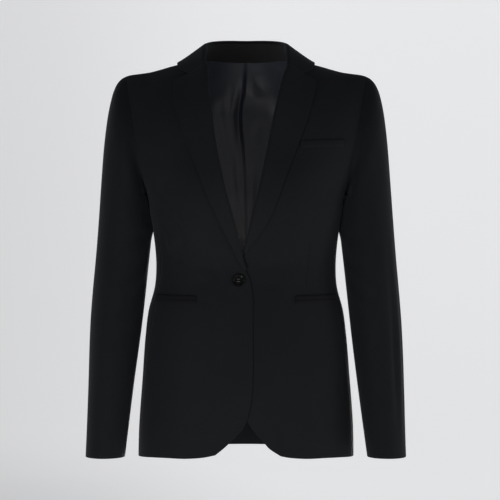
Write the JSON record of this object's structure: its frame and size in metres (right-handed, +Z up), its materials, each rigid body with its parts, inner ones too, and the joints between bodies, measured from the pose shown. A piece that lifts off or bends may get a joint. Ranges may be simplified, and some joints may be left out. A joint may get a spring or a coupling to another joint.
{
  "type": "single breasted blazer",
  "caption": "Fitted women's blazer in black cloth, worn and hollow, with notch lapels, one button, cutaway front hems and plain long sleeves.",
  "frame": {"origin": "base of the neck, midway between the shoulder seams, where the wearer's shoulders hold the garment", "axes": "+Z up, the front faces -Y, +X is the wearer's left"},
  "size_m": [0.5312, 0.2552, 0.6958],
  "materials": {
    "cloth": "fine matt suiting",
    "lining": "satin lining",
    "button": "gloss",
    "thread": "twisted thread"
  },
  "bodies": {
    "root": {"front_right": "cloth", "front_left": "cloth", "side_panel_right": "cloth", "side_panel_left": "cloth", "back_right": "cloth", "back_left": "cloth", "top_sleeve_right": "cloth", "top_sleeve_left": "cloth", "under_sleeve_right": "cloth", "under_sleeve_left": "cloth", "lapel_right": "cloth", "lapel_left": "cloth", "collar": "cloth", "collar_stand": "cloth", "hip_lip_upper_right": "cloth", "hip_lip_upper_left": "cloth", "hip_lip_lower_right": "cloth", "hip_lip_lower_left": "cloth", "chest_welt": "cloth", "back_lining_right": "lining", "back_lining_left": "lining", "button": "button", "button_thread_upper": "thread", "button_thread_lower": "thread"}
  },
  "joints": []
}
